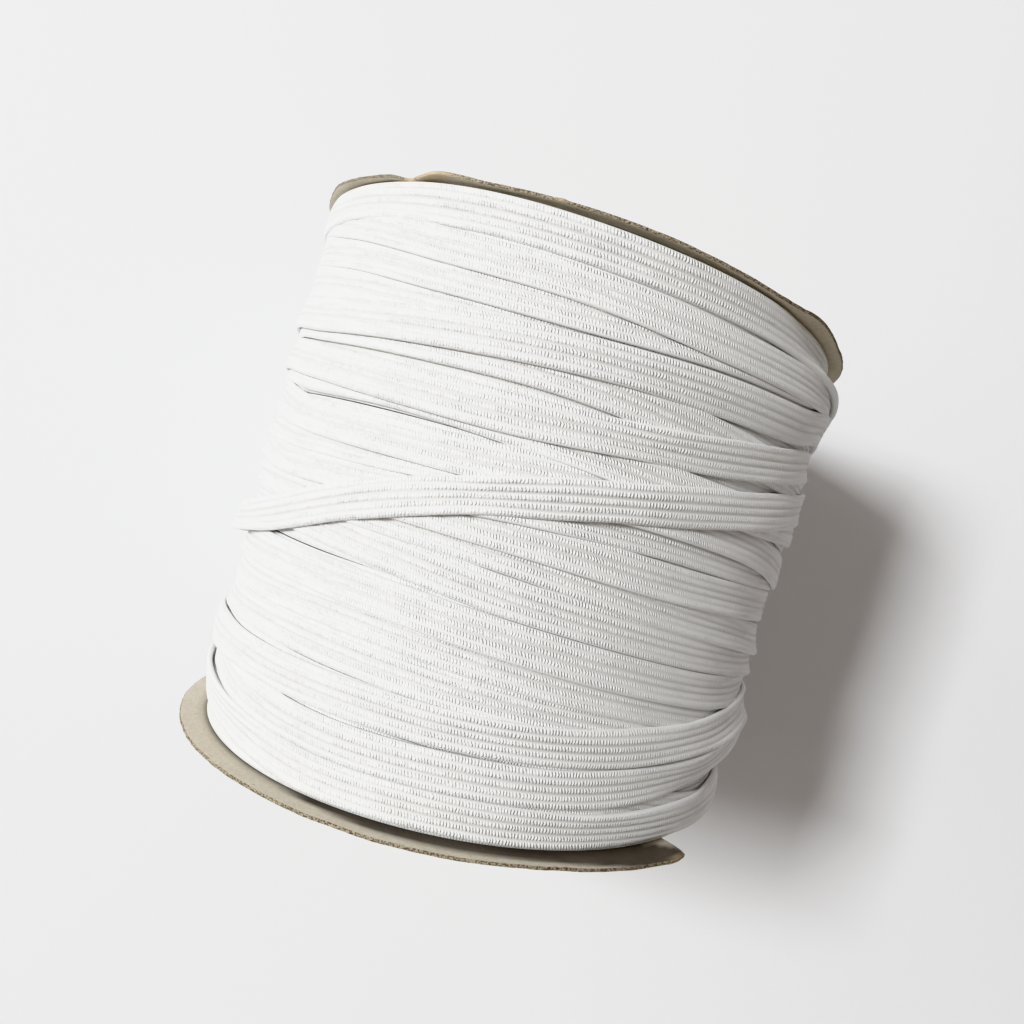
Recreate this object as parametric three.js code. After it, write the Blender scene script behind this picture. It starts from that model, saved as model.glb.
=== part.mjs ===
// A roll of flat braided elastic wound between two round card ends, lying on its side.
// Millimetres, +Z up, the roll's axis along Y. Angles about the axis start at the top (+Z)
// and grow towards +X. Lengths along the axis are counted from midway between the cards.
import * as THREE from "three";
import { mergeVertices } from "three/addons/utils/BufferGeometryUtils.js";

// Card ends
const CARD_RADIUS = 53;
const CARD_THICKNESS = 0.55;
const CARD_SPACING = 90.76; // centre to centre
const FLAT_HALF_ANGLE = 7.5; // degrees of rim pressed flat where the roll lies
const BEND_START = 0.95; // share of the radius inside which a card stays plane
const CARD_SIDES = 96;
const UPPER_LEAN = { across: -0.049, down: -0.033 }; // rise along Y for each mm of X and of Z
const LOWER_LEAN = { across: 0.065, down: -0.094 };
// Bends of a rim: where, how wide (degrees) and how far the edge is pushed along +Y
const UPPER_BENDS = [
  { at: -64, width: 9, push: 0.8 },
  { at: -36.5, width: 3.5, push: -0.7 },
  { at: -28, width: 6, push: 0.6 },
  { at: 48, width: 7, push: 0.9 },
];
const LOWER_BENDS = [{ at: 45, width: 14, push: -1 }];
// Radius of the lower card's rim at these angles, where a stretch of it is torn away
const LOWER_TEAR = [
  [49.6, CARD_RADIUS],
  [50.9, 47.4],
  [58, 47],
  [76, 47.6],
  [90, 48.4],
  [104, 49.6],
  [116, CARD_RADIUS],
];
const TEAR_DEPTH = 0.8; // share of the torn radius inside which a card keeps its shape

// Elastic band and its winding
const BAND_WIDTH = 5.9;
const BAND_THICKNESS = 0.95;
const BAND_EDGE = 1.4; // width over which a band's edge rounds off
const DRUM_RADIUS = 49.1; // the winding under the raised turns
const SHOULDER_RADIUS = 48.6; // where the winding meets the cards
const SHOULDER_WIDTH = 1.6;
const MOST_RADIUS = 52; // the winding stays inside the cards' rims, clear of the ground
const END_GAP = 0.4; // between the winding and each card
const SIDES = 72;
const ROWS = 70;
const SETTLE = 3; // steps either way over which a turn spans dips and steps below it

// Lower edge of each raised turn at these angles, in the order in which they were wound
const STATIONS = [-75, -50, -25, 0, 25, 50, 75, 180];
const RINGS = {
  foot_inner: [-43, -43.5, -43, -43, -42, -43.2, -43, -39],
  foot_outer: [-35, -36, -37, -37, -36, -34, -31, -34],
  shelf_1: [-30, -30.5, -31, -31.6, -31.8, -31.5, -31, -31],
  shelf_2: [-24.5, -25.3, -25.4, -26.1, -26.7, -27, -27, -26],
  shelf_3: [-20, -20.6, -21.3, -22.3, -23, -23, -21.5, -19.5],
  shelf_4: [-11.5, -12.6, -14.4, -16.3, -17, -17.2, -17, -15],
  shelf_5: [-7, -8.5, -9.6, -10.2, -11.8, -12.7, -13.2, -10.5],
  shelf_6: [-4.5, -5.5, -6.8, -7.4, -8, -7.5, -6.8, -6.5],
  middle_1: [-1.5, -4.4, -4.6, -3, -1.9, -1.7, -1, -2],
  middle_2: [2, 0, -0.4, 0.9, 1.6, 1.3, -0.4, 2.5],
  middle_3: [7, 3.2, 1.9, 2.2, 4.6, 7.1, 6.3, 7],
  head_1: [12.5, 10, 9.1, 7.6, 5.9, 6.5, 8, 11],
  head_2: [20.5, 18.5, 17.4, 16.9, 15.6, 14.8, 14.5, 16],
  head_3: [28.3, 25.6, 23.2, 22.5, 23.2, 24.8, 27.5, 26],
  head_4: [34, 31, 27.6, 26.4, 27.6, 29.4, 33, 31.5],
  head_5: [39.6, 36, 32.2, 30.4, 29, 29.9, 32, 37.5],
  top_1: [22.6, 20, 19.4, 20.2, 21.5, 23.3, 27.2, 24.5],
  top_2: [14.8, 12, 10, 9.6, 11.9, 15.7, 20, 18.5],
};
// The last turns are one run of band, each carried on round the back into the next
const FRONT_STATIONS = STATIONS.slice(0, 7);
const LAST_RUN = {
  along_lower_card: [-45, -47.9, -49.8, -48.9, -47.2, -44, -41.4],
  beside_it: [-36.8, -41.8, -43.6, -42.8, -40.6, -36.1, -29.6],
  rising: [-36, -37, -37.2, -36.6, -34.2, -30, -25],
  crossing: [-17.1, -14.1, -7.8, -1.6, 3.4, 7.9, 12.6],
  along_upper_card: [42.5, 40.2, 38.4, 36.8, 36, 35.9, 35.5],
};
const LAST_END_ANGLE = 66; // where the band's end is tucked in
const LAST_END_SPAN = 6; // degrees over which it sinks away

const MERGE_DISTANCE = 1e-4;

const radians = THREE.MathUtils.degToRad;

// Smooth curve through [angle, value] points, with an easy slope at each
function smoothThrough(points) {
  const slope = points.map(([, value], i) => {
    const [before, after] = [points[Math.max(i - 1, 0)], points[Math.min(i + 1, points.length - 1)]];
    return after[0] === before[0] ? 0 : (after[1] - before[1]) / (after[0] - before[0]);
  });
  return (angle) => {
    let i = points.findIndex(([at]) => at > angle) - 1;
    if (i < 0) i = angle < points[0][0] ? 0 : points.length - 2;
    const [[a, va], [b, vb]] = [points[i], points[i + 1]];
    const t = THREE.MathUtils.clamp((angle - a) / (b - a), 0, 1);
    const [t2, t3, span] = [t * t, t * t * t, b - a];
    return (
      va * (2 * t3 - 3 * t2 + 1) +
      vb * (3 * t2 - 2 * t3) +
      slope[i] * span * (t3 - 2 * t2 + t) +
      slope[i + 1] * span * (t3 - t2)
    );
  };
}

// Lower edge of a closed turn, for angles from -180 to 180
function ringEdge(values) {
  const points = STATIONS.map((at, i) => [at, values[i]]);
  const wrapped = [-1, 0, 1].flatMap((lap) => points.map(([at, value]) => [at + 360 * lap, value]));
  return smoothThrough(wrapped);
}

// Lower edge of the last run, for angles counted on through its laps
function runEdge() {
  const points = Object.values(LAST_RUN).flatMap((values, lap) =>
    FRONT_STATIONS.map((at, i) => [at + 360 * lap, values[i]]),
  );
  return smoothThrough(points);
}

// Middle plane of a card, as a height along Y over X and Z
const leanHeight = (lean, x, z) => lean.across * x + lean.down * z;
const upperPlane = (x, z) => CARD_SPACING / 2 + leanHeight(UPPER_LEAN, x, z);
const lowerPlane = (x, z) => -CARD_SPACING / 2 + leanHeight(LOWER_LEAN, x, z);

// Point of the winding's length at a share of the way from the lower card to the upper one
function alongAt(share, x, z) {
  const inset = CARD_THICKNESS / 2 + END_GAP;
  return THREE.MathUtils.lerp(lowerPlane(x, z) + inset, upperPlane(x, z) - inset, share);
}

// Height map of the winding: a radius for each step round and each row along
function drumMap() {
  const length = CARD_SPACING - CARD_THICKNESS - 2 * END_GAP;
  return Array.from({ length: SIDES }, () =>
    Array.from({ length: ROWS + 1 }, (_, row) => {
      const fromEnd = (Math.min(row, ROWS - row) / ROWS) * length;
      const rise = THREE.MathUtils.smoothstep(fromEnd, 0, SHOULDER_WIDTH);
      return THREE.MathUtils.lerp(SHOULDER_RADIUS, DRUM_RADIUS, rise);
    }),
  );
}

const stepAngle = (step) => -180 + (360 * step) / SIDES;

// Share of a band's thickness at a place across it, rounded off at both edges
function bandShare(fromEdge) {
  const inside = Math.min(fromEdge, BAND_WIDTH - fromEdge);
  return THREE.MathUtils.smoothstep(inside, -BAND_EDGE / 2, BAND_EDGE);
}

// Mean height under the part of a turn that lies between two shares of its width
function restUnder(column, across, from, to) {
  const under = column.filter((_, row) => across[row] >= from && across[row] <= to);
  return under.length ? under.reduce((sum, radius) => sum + radius, 0) / under.length : DRUM_RADIUS;
}

// Evens out what a turn rests on, step by step round the roll
function settle(rests) {
  return rests.map((_, step) => {
    let sum = 0;
    for (let k = -SETTLE; k <= SETTLE; k++) sum += rests[(step + k + SIDES) % SIDES];
    return sum / (2 * SETTLE + 1);
  });
}

// How much of a turn there is at an angle: all of it, or none past the band's tucked end
const wholeTurn = () => 1;
const tuckedEnd = (angle) =>
  1 - THREE.MathUtils.smoothstep(angle, LAST_END_ANGLE - LAST_END_SPAN, LAST_END_ANGLE);

// Lays one turn over the map: each of its two halves rests on what is under it
function layTurn(map, edgeAt, fade) {
  const across = map.map((column, step) => {
    const angle = stepAngle(step);
    const [x, z] = [Math.sin(radians(angle)) * DRUM_RADIUS, Math.cos(radians(angle)) * DRUM_RADIUS];
    return column.map((_, row) => (alongAt(row / ROWS, x, z) - edgeAt(angle)) / BAND_WIDTH);
  });
  const lower = settle(map.map((column, step) => restUnder(column, across[step], 0, 0.5)));
  const upper = settle(map.map((column, step) => restUnder(column, across[step], 0.5, 1)));
  map.forEach((column, step) =>
    column.forEach((radius, row) => {
      const place = across[step][row];
      const share = bandShare(place * BAND_WIDTH) * fade(stepAngle(step));
      const rest = THREE.MathUtils.lerp(lower[step], upper[step], THREE.MathUtils.clamp(place, 0, 1));
      const outside = Math.max(radius, rest + BAND_THICKNESS);
      if (share > 0) column[row] = THREE.MathUtils.lerp(radius, outside, share);
    }),
  );
}

function windingMap() {
  const map = drumMap();
  Object.values(RINGS).forEach((values) => layTurn(map, ringEdge(values), wholeTurn));
  const edge = runEdge();
  const laps = Object.keys(LAST_RUN).length;
  for (let lap = 0; lap < laps; lap++) {
    layTurn(map, (angle) => edge(angle + 360 * lap), lap === laps - 1 ? tuckedEnd : wholeTurn);
  }
  return map;
}

// The same shape with its shared points merged, so that it is one closed surface
function merged(geometry) {
  geometry.deleteAttribute("normal");
  geometry.deleteAttribute("uv");
  return mergeVertices(geometry, MERGE_DISTANCE);
}

// The wound form: a cylinder whose points are raised to the height map
function woundForm() {
  const map = windingMap();
  const geometry = merged(new THREE.CylinderGeometry(1, 1, 1, SIDES, ROWS));
  const points = geometry.getAttribute("position");
  const point = new THREE.Vector3();
  for (let i = 0; i < points.count; i++) {
    point.fromBufferAttribute(points, i);
    const share = point.y + 0.5;
    const onWall = Math.hypot(point.x, point.z) > 0.5; // the other points are the caps' centres
    const turn = THREE.MathUtils.radToDeg(Math.atan2(point.x, point.z));
    const step = Math.round(((turn + 180) * SIDES) / 360) % SIDES;
    const radius = onWall ? Math.min(map[step][Math.round(share * ROWS)], MOST_RADIUS) : 0;
    const [x, z] = [point.x * radius, point.z * radius];
    points.setXYZ(i, x, alongAt(share, x, z), z);
  }
  return geometry;
}

// How far bends push a card's rim along Y at an angle, growing from BEND_START out to the edge
function bendPush(bends, angle, radius) {
  const reach = THREE.MathUtils.smoothstep(radius / CARD_RADIUS, BEND_START, 1);
  const sum = bends.reduce((total, bend) => {
    const off = (angle - bend.at) / bend.width;
    return total + bend.push * Math.exp(-off * off);
  }, 0);
  return reach * sum;
}

// Radius of a card's rim at an angle, less where it is torn
function rimRadius(tear, angle) {
  const i = tear.findIndex(([at]) => at > angle);
  if (i < 1) return CARD_RADIUS;
  const [[a, before], [b, after]] = [tear[i - 1], tear[i]];
  return THREE.MathUtils.mapLinear(angle, a, b, before, after);
}

// Where a point of the whole disc lies once its rim is torn
function tornRadius(tear, angle, radius) {
  const rim = rimRadius(tear, angle);
  const whole = TEAR_DEPTH * rim;
  return radius > whole ? THREE.MathUtils.mapLinear(radius, whole, CARD_RADIUS, whole, rim) : radius;
}

// A card end: a thin disc set at its lean, with its bends, its tear and the pressed flat of its rim
function cardEnd(plane, bends, tear) {
  const half = CARD_THICKNESS / 2;
  const rings = [0, BEND_START * CARD_RADIUS, CARD_RADIUS];
  const profile = [...rings.map((r) => [r, -half]), ...rings.toReversed().map((r) => [r, half])];
  const lathe = new THREE.LatheGeometry(
    profile.map(([r, y]) => new THREE.Vector2(r, y)),
    CARD_SIDES,
  );
  const geometry = merged(lathe);
  const points = geometry.getAttribute("position");
  const floor = -CARD_RADIUS * Math.cos(radians(FLAT_HALF_ANGLE));
  for (let i = 0; i < points.count; i++) {
    const turn = Math.atan2(points.getX(i), points.getZ(i));
    const angle = THREE.MathUtils.radToDeg(turn);
    const onDisc = Math.hypot(points.getX(i), points.getZ(i));
    const radius = tornRadius(tear, angle, onDisc);
    const [x, z] = [Math.sin(turn) * radius, Math.max(Math.cos(turn) * radius, floor)];
    points.setXYZ(i, x, points.getY(i) + plane(x, z) + bendPush(bends, angle, onDisc), z);
  }
  return geometry;
}

const elasticMaterial = () =>
  new THREE.MeshStandardMaterial({ color: 0xefedea, roughness: 0.7, metalness: 0 });
const cardMaterial = () =>
  new THREE.MeshStandardMaterial({ color: 0xb5ac98, roughness: 0.92, metalness: 0 });

function piece(name, geometry, material) {
  const mesh = new THREE.Mesh(geometry, material);
  mesh.name = name;
  return mesh;
}

const roll = new THREE.Group();
roll.add(
  piece("elastic_roll", woundForm(), elasticMaterial()),
  piece("upper_card", cardEnd(upperPlane, UPPER_BENDS, []), cardMaterial()),
  piece("lower_card", cardEnd(lowerPlane, LOWER_BENDS, LOWER_TEAR), cardMaterial()),
);

// Stands the roll on the ground, with the origin under the middle of its box
const box = new THREE.Box3().setFromObject(roll);
const middle = box.getCenter(new THREE.Vector3());
roll.position.set(-middle.x, -middle.y, -box.min.z);

export default roll;
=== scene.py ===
"""A roll of flat plaited elastic wound between two greyboard ends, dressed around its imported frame.

Lengths are in millimetres until a mesh is written in metres. The roll's own axes have the roll's axis
along Y with y = 0 midway between the cards, and angles about it start at the top (+Z) and grow towards
+X. A turn of band is placed by its lower edge, which is the one nearer to the lower card.
"""

from __future__ import annotations

import logging
import math
from dataclasses import dataclass
from enum import Enum
from typing import Any, Callable

import bmesh
import bpy
import numpy as np
from mathutils import Matrix, Vector, noise

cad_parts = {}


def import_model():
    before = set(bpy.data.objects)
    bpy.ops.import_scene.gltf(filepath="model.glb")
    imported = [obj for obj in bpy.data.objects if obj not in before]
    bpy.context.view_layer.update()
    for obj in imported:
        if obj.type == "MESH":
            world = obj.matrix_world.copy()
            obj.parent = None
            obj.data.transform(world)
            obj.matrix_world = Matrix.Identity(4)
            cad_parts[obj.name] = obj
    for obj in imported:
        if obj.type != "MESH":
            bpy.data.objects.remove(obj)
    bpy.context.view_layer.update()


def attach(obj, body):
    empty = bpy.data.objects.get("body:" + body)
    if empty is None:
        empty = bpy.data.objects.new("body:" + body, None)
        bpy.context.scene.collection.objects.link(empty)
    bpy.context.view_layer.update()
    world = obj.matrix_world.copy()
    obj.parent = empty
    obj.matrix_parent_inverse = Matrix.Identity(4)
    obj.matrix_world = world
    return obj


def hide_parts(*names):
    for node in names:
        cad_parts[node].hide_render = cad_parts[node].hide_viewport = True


LOG = logging.getLogger("elastic_roll")
MM = 0.001
STEPS = 240  # sections of band in one turn
STEP_DEG = 360 / STEPS
SEED_STEP = 7.31  # between the layers of noise that neighbouring seeds read


class Slot(Enum):
    """Material slots."""

    ELASTIC = "elastic"
    CARD = "card"


# ---------------------------------------------------------------- shader helpers


class Signal:
    """A shader socket that takes part in Python arithmetic."""

    def __init__(self, book: NodeBook, socket: Any) -> None:
        """Wraps an output socket of a node in that book's tree."""
        self.book = book
        self.socket = socket

    def _with(self, operation: str, *values: Any) -> Signal:
        """Adds one Math node for an operation on values."""
        sockets = dict(enumerate(values))
        return self.book.node("ShaderNodeMath", {"operation": operation}, sockets)

    def __add__(self, other: Any) -> Signal:
        """self + other."""
        return self._with("ADD", self, other)

    __radd__ = __add__

    def __sub__(self, other: Any) -> Signal:
        """self - other."""
        return self._with("SUBTRACT", self, other)

    def __rsub__(self, other: Any) -> Signal:
        """other - self."""
        return self._with("SUBTRACT", other, self)

    def __mul__(self, other: Any) -> Signal:
        """self * other."""
        return self._with("MULTIPLY", self, other)

    __rmul__ = __mul__

    def __truediv__(self, other: Any) -> Signal:
        """self / other."""
        return self._with("DIVIDE", self, other)

    def sine(self) -> Signal:
        """Sine of a value in radians."""
        return self._with("SINE", self)

    def swing(self, reach: float) -> Signal:
        """Straight up and down between 0 and a reach, with a period of twice that reach."""
        return self._with("PINGPONG", self, reach)

    def at_most(self, other: Any) -> Signal:
        """The smaller of two values."""
        return self._with("MINIMUM", self, other)

    def between(self, low: float, high: float) -> Signal:
        """A smooth rise from 0 to 1.

        Args:
            low: Value up to which it is 0.
            high: Value from which it is 1.

        Returns:
            The rise.
        """
        settings = {"interpolation_type": "SMOOTHSTEP", "clamp": True}
        sockets = {"Value": self, "From Min": low, "From Max": high}
        return self.book.node("ShaderNodeMapRange", settings, sockets)


class NodeBook:
    """Builds one material's node tree."""

    MIX_FIRST, MIX_SECOND, MIX_RESULT = 6, 7, 2  # colour sockets of a Mix node

    def __init__(self, name: str) -> None:
        """Starts an empty material of that name."""
        self.material = bpy.data.materials.new(name)
        self.material.use_nodes = True
        self.tree = self.material.node_tree
        self.tree.nodes.clear()

    def node(self, kind: str, settings: dict[str, Any], sockets: dict[Any, Any], output: Any = 0) -> Signal:
        """Adds a node.

        Args:
            kind: The node's type.
            settings: Its properties, set first.
            sockets: A value, or a signal to link, for each input by name or number.
            output: The output socket to hand back, by name or number.

        Returns:
            That output as a signal.
        """
        made = self.tree.nodes.new(kind)
        for name, value in settings.items():
            setattr(made, name, value)
        for name, value in sockets.items():
            if isinstance(value, Signal):
                self.tree.links.new(value.socket, made.inputs[name])
            else:
                made.inputs[name].default_value = value
        return Signal(self, made.outputs[output]) if len(made.outputs) else Signal(self, None)

    def blend(self, share: Any, first: Any, second: Any) -> Signal:
        """Mixes two colours, each a tuple or a signal.

        Args:
            share: How much of the second is in the mix, from 0 to 1.
            first: The first colour.
            second: The second colour.

        Returns:
            The mix.
        """
        sides = {self.MIX_FIRST: first, self.MIX_SECOND: second}
        sockets = {n: value if isinstance(value, Signal) else (*value, 1.0) for n, value in sides.items()}
        return self.node("ShaderNodeMix", {"data_type": "RGBA"}, {0: share, **sockets}, self.MIX_RESULT)

    def mark(self, name: str) -> Signal:
        """A value that the mesh keeps at each of its points."""
        return self.node("ShaderNodeAttribute", {"attribute_name": name}, {}, "Fac")

    def grain(self, where: Signal, scale: float, detail: float = 2.0) -> Signal:
        """Noise of a given scale, from 0 to 1."""
        return self.node("ShaderNodeTexNoise", {}, {"Vector": where, "Scale": scale, "Detail": detail})

    def stretched(self, where: Signal, scale: tuple[float, float, float]) -> Signal:
        """The same coordinates, scaled on each axis."""
        settings = {"vector_type": "POINT"}
        return self.node("ShaderNodeMapping", settings, {"Vector": where, "Scale": scale})

    def finish(self, constants: dict[str, Any], base: Any, rough: Any, relief: Signal, deep: float) -> None:
        """Joins the signals to a Principled shader.

        Args:
            constants: Values of the shader's own sockets.
            base: Base colour.
            rough: Roughness.
            relief: Height of the surface, from 0 to 1.
            deep: How far the relief reaches, in metres.
        """
        sockets = {"Height": relief, "Distance": deep, "Strength": 1.0}
        normal = self.node("ShaderNodeBump", {}, sockets)
        given = {"Base Color": base, "Roughness": rough, "Normal": normal, **constants}
        shader = self.node("ShaderNodeBsdfPrincipled", {}, given)
        self.node("ShaderNodeOutputMaterial", {}, {"Surface": shader})


# ---------------------------------------------------------------- finishes


@dataclass(frozen=True)
class ElasticFinish:
    """White plaited elastic: rows of slanted stitches along each rib, with painted shade in its grooves and
    between its stitches. Its map is in millimetres.
    """

    yarn: tuple = (0.88, 0.875, 0.865)
    # painted shade colour, for the grooves and the gaps between stitches
    painted_shade: tuple = (0.55, 0.53, 0.50)
    stitch_pitch: float = 0.48
    rib_pitch: float = 1.18
    slant: float = 0.3
    stray: float = 0.8  # how far the stitches wander along the band
    stray_scale: tuple = (0.5, 0.85, 1.0)
    stretch_scale: tuple = (0.15, 0.85, 1.0)  # of long stretches with higher and lower stitches
    single_scale: tuple = (1.6, 1.2, 1.0)  # of single high stitches
    fibre_scale: tuple = (6.0, 14.0, 1.0)
    stitch_shares: tuple = (0.45, 0.4, 0.15)  # of a stitch's height: by its stretch, by itself, and always
    relief_shares: tuple = (0.75, 0.12, 0.13)  # of stitches, ribs and fibres
    stitch_height: float = 0.27
    # shares of painted shade: in the grooves, along the rib edges, and between stitches
    dip_shade: float = 0.65
    rib_shade: float = 0.12
    hollow_shades: tuple = (0.1, 0.03)  # between stitches: by their stretch, and always
    roughness: tuple = (0.17, 0.72)
    sheen: float = 0.25

    def material(self) -> bpy.types.Material:
        """Makes the material."""
        book = NodeBook("plaited_elastic")
        place = book.node("ShaderNodeUVMap", {"uv_map": BandStrip.MAP}, {})
        along = book.node("ShaderNodeSeparateXYZ", {}, {0: place}, 0)
        across = book.node("ShaderNodeSeparateXYZ", {}, {0: place}, 1)
        wander = book.grain(book.stretched(place, self.stray_scale), 1.0, 4.0) - 0.5
        lean = across * self.slant
        turn = (along + lean + wander * self.stray) / self.stitch_pitch
        wave = (turn * math.tau).sine() * 0.5 + 0.5
        half_rib = self.rib_pitch / 2
        crest = (across.swing(half_rib) / half_rib).between(0.1, 0.75)
        uneven = book.grain(book.stretched(place, self.stretch_scale), 1.0, 4.0).between(0.32, 0.68)
        single = book.grain(book.stretched(place, self.single_scale), 1.0, 2.0).between(0.35, 0.65)
        fibre = book.grain(book.stretched(place, self.fibre_scale), 1.0, 3.0)
        by_stretch, by_itself, always = self.stitch_shares
        stitch = wave * crest * (uneven * by_stretch + single * by_itself + always)
        of_stitch, of_rib, of_fibre = self.relief_shares
        relief = stitch * of_stitch + crest * of_rib + fibre * of_fibre
        # yarn colour with painted shade in its grooves and between its stitches
        base = book.blend(self._shade(book, wave, crest, uneven), self.yarn, self.painted_shade)
        smooth, dull = self.roughness
        rough = (1 - stitch) * (dull - smooth) + smooth
        constants = {"Sheen Weight": self.sheen, "Sheen Roughness": 0.4}
        constants |= {"IOR": 1.55, "Specular IOR Level": 1.0}
        book.finish(constants, base, rough, relief, self.stitch_height * MM)
        return book.material

    def _shade(self, book: NodeBook, wave: Signal, crest: Signal, uneven: Signal) -> Signal:
        """How far the yarn takes the painted shade colour, in its grooves, along its rib edges and between
        its stitches.

        Args:
            book: The material's nodes.
            wave: 1 on each stitch and 0 between stitches.
            crest: 1 along the top of a rib and 0 in its grooves.
            uneven: How high the stitches stand along a stretch.

        Returns:
            The share, from 0 to 1.
        """
        by_stretch, always = self.hollow_shades
        # painted shade between stitches, in the grooves and along the rib edges
        between = (1 - wave) * crest * (uneven * by_stretch + always)
        grooves = book.mark(BandStrip.DIP) * self.dip_shade + (1 - crest) * self.rib_shade
        return (grooves + between).at_most(1.0)


@dataclass(frozen=True)
class GreyboardFinish:
    """Thin recycled greyboard: matt and flecked, with a darker, layered and fuzzy cut edge, and a painted
    shadow where the winding shades a card's inner face.
    """

    face: tuple = (0.60, 0.545, 0.44)
    pale: tuple = (0.69, 0.64, 0.54)
    fleck: tuple = (0.30, 0.26, 0.20)
    cut: tuple = (0.44, 0.375, 0.275)
    cut_dark: tuple = (0.10, 0.08, 0.055)
    frayed: tuple = (0.60, 0.49, 0.32)
    # painted shadow colour: the winding's shadow on the near card's inner face
    painted_shadow: tuple = (0.095, 0.082, 0.072)
    cloud_scale: float = 140.0
    pulp_scale: float = 1500.0
    layer_scale: float = 3800.0
    fleck_scale: float = 900.0
    fleck_shape: tuple = (1.0, 1.0, 2.2)
    relief: float = 0.08

    def material(self) -> bpy.types.Material:
        """Makes the material."""
        book = NodeBook("greyboard")
        where = book.node("ShaderNodeTexCoord", {}, {}, "Object")
        cloudy = book.grain(where, self.cloud_scale, 4.0)
        pulp = book.grain(where, self.pulp_scale, 5.0)
        layers = book.grain(where, self.layer_scale, 3.0)
        flecks = book.grain(book.stretched(where, self.fleck_shape), self.fleck_scale, 2.0)
        flecks = flecks.between(0.66, 0.76)
        face = book.blend((cloudy * 0.35 + pulp * 0.65).between(0.3, 0.7), self.face, self.pale)
        face = book.blend(flecks * 0.5 + layers.between(0.5, 0.8) * 0.22, face, self.fleck)
        # painted shadow: darkens the inner face beside the winding, more towards the torn end
        face = book.blend(book.mark(CardEnd.PAINTED_SHADOW) * (cloudy * 0.2 + 0.82), face, self.painted_shadow)
        layered = book.blend(layers.between(0.38, 0.62), self.cut_dark, self.cut)
        base = book.blend(book.mark(CardEnd.CUT), face, layered)
        base = book.blend(book.mark(CardEnd.WORN) * (pulp * 0.6 + 0.5).at_most(1.0), base, self.frayed)
        relief = pulp * 0.7 + cloudy * 0.3
        book.finish({"IOR": 1.4, "Specular IOR Level": 0.25}, base, 0.93, relief, self.relief * MM)
        return book.material


@dataclass(frozen=True)
class FloorFinish:
    """Plain pale cloth-like floor."""

    colour: tuple = (0.80, 0.795, 0.80)
    weave_scale: float = 900.0
    relief: float = 0.03

    def material(self) -> bpy.types.Material:
        """Makes the material."""
        book = NodeBook("pale_floor")
        where = book.node("ShaderNodeTexCoord", {}, {}, "Object")
        relief = book.grain(where, self.weave_scale, 2.0)
        book.finish({"IOR": 1.4}, (*self.colour, 1.0), 0.95, relief, self.relief * MM)
        return book.material


# ---------------------------------------------------------------- the roll's own axes


@dataclass(frozen=True)
class RollAxes:
    """Where the roll's axis lies in the frame that the part is packed in."""

    card_radius: float = 53.0
    flat_half_angle: float = 7.5
    midway: float = 1.4627  # of the cards, along Y from the origin

    @property
    def height(self) -> float:
        """Height of the axis above the ground."""
        return self.card_radius * math.cos(math.radians(self.flat_half_angle))

    def to_row(self, points: np.ndarray) -> np.ndarray:
        """Points in the roll's axes, in millimetres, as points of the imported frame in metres."""
        return (points + (0.0, self.midway, self.height)) * MM


AXES = RollAxes()


def polar(angle: np.ndarray, radius: np.ndarray) -> tuple[np.ndarray, np.ndarray]:
    """X and Z of a place given by its angle in degrees and its radius."""
    turn = np.radians(angle)
    return np.sin(turn) * radius, np.cos(turn) * radius


def ring_drift(angle: np.ndarray, size: float, seed: float) -> np.ndarray:
    """Smooth unevenness round a ring, the same again after a whole turn.

    Args:
        angle: Angles in degrees.
        size: Radius of the ring in the noise: the larger, the finer the unevenness.
        seed: Which unevenness it is.

    Returns:
        A value at each angle, from about -1 to 1.
    """
    turn = np.radians(angle)
    spots = zip(np.sin(turn) * size, np.cos(turn) * size)
    return np.array([noise.noise(Vector((x, z, seed * SEED_STEP))) for x, z in spots])


class Course:
    """A smooth line through (angle, value) points, with an easy slope at each."""

    def __init__(self, angles: list[float], values: list[float]) -> None:
        """Works out the slopes.

        Args:
            angles: Angles of the points, in order.
            values: The line's value at each.
        """
        self.angles = np.array(angles, float)
        self.values = np.array(values, float)
        before = np.maximum(np.arange(len(angles)) - 1, 0)
        after = np.minimum(np.arange(len(angles)) + 1, len(angles) - 1)
        self.slopes = (self.values[after] - self.values[before]) / (self.angles[after] - self.angles[before])

    def at(self, angle: np.ndarray) -> np.ndarray:
        """The line's values.

        Args:
            angle: Angles, anywhere between the first point's and the last one's.

        Returns:
            A value for each.
        """
        i = np.clip(np.searchsorted(self.angles, angle, "right") - 1, 0, len(self.angles) - 2)
        span = self.angles[i + 1] - self.angles[i]
        t = np.clip((angle - self.angles[i]) / span, 0.0, 1.0)
        rise = 3 * t**2 - 2 * t**3
        start = (t**3 - 2 * t**2 + t) * self.slopes[i] * span
        end = (t**3 - t**2) * self.slopes[i + 1] * span
        return self.values[i] * (1 - rise) + self.values[i + 1] * rise + start + end


# ---------------------------------------------------------------- cards


@dataclass(frozen=True)
class CardPlane:
    """Middle plane of a card: its place on the axis and its rise along Y for each mm of X and of Z."""

    centre: float
    across: float
    down: float

    def at(self, x: Any, z: Any) -> Any:
        """Height along Y over a place in X and Z."""
        return self.centre + self.across * x + self.down * z


UPPER_PLANE = CardPlane(45.38, -0.049, -0.033)
LOWER_PLANE = CardPlane(-45.38, 0.065, -0.094)


@dataclass(frozen=True)
class Bend:
    """A bent or worn stretch of a card's rim: where, how wide (degrees) and how far (mm)."""

    at: float
    width: float
    push: float

    def over(self, angle: np.ndarray) -> np.ndarray:
        """Push at the given angles."""
        off = (angle - self.at + 180.0) % 360.0 - 180.0
        return self.push * np.exp(-((off / self.width) ** 2))


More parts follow.
